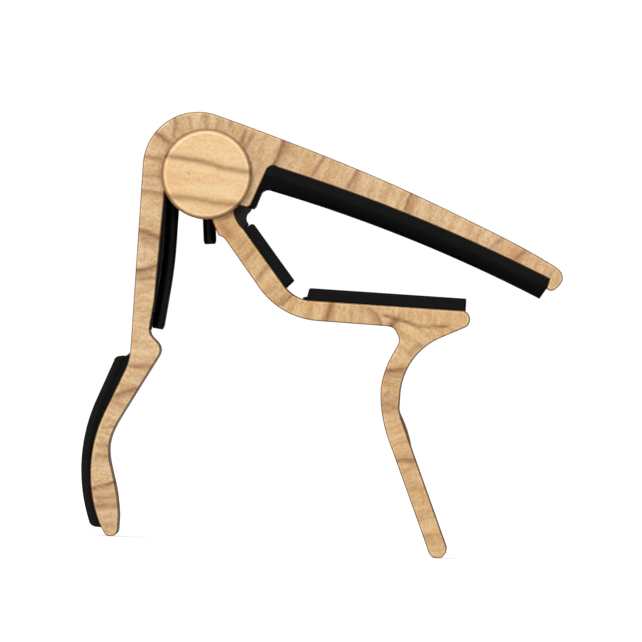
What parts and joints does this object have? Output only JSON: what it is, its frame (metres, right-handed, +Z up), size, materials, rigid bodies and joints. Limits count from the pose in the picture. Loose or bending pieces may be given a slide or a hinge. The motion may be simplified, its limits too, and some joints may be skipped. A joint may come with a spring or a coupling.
{
  "type": "guitar capo",
  "caption": "Trigger capo: two wood-finished levers crossed at a sprung hinge, with a curved string pad, neck pads and a cushioned handle.",
  "frame": {"origin": "middle of the bounding box's footprint, on the surface that the ends of the two handles stand on", "axes": "+Z up, +X from the hinge towards the jaw tips, +Y through the thickness; the hinge axis runs along Y"},
  "size_m": [0.0936, 0.0212, 0.0859],
  "materials": {
    "wood_print": "satin maple wood-grain print over aluminium",
    "cap_print": "satin maple wood-grain print",
    "pivot_steel": "satin",
    "nylon": "matte",
    "adhesive_foam": "matte",
    "black_spring_steel": "gloss",
    "liner_plastic": "matte",
    "pad_silicone": "satin",
    "bumper_rubber": "matte",
    "grip_silicone": "satin"
  },
  "bodies": {
    "neck_lever": {"neck_lever": "wood_print", "neck_rest_pad": "pad_silicone", "neck_side_pad": "pad_silicone", "closing_bumper": "bumper_rubber", "torsion_spring": "black_spring_steel", "spring_bush": "nylon"},
    "string_lever": {"string_lever": "wood_print", "string_pad": "pad_silicone", "grip_cushion": "grip_silicone", "spring_leg_liner": "liner_plastic", "pivot_barrel": "pivot_steel", "pivot_screw": "pivot_steel", "front_thrust_washer": "nylon", "rear_thrust_washer": "nylon", "front_adhesive_disc": "adhesive_foam", "rear_adhesive_disc": "adhesive_foam", "front_cap": "cap_print", "rear_cap": "cap_print"}
  },
  "joints": [
    {"name": "jaw_hinge", "type": "hinge", "parent": "neck_lever", "child": "string_lever", "pos_m": [-0.02567, 0, 0.0736], "axis": [0, -1, 0], "range_deg": [0, 35], "stiffness_Nm_per_rad": 0.9, "springref_deg": -40.11, "deforming": ["torsion_spring"]}
  ]
}
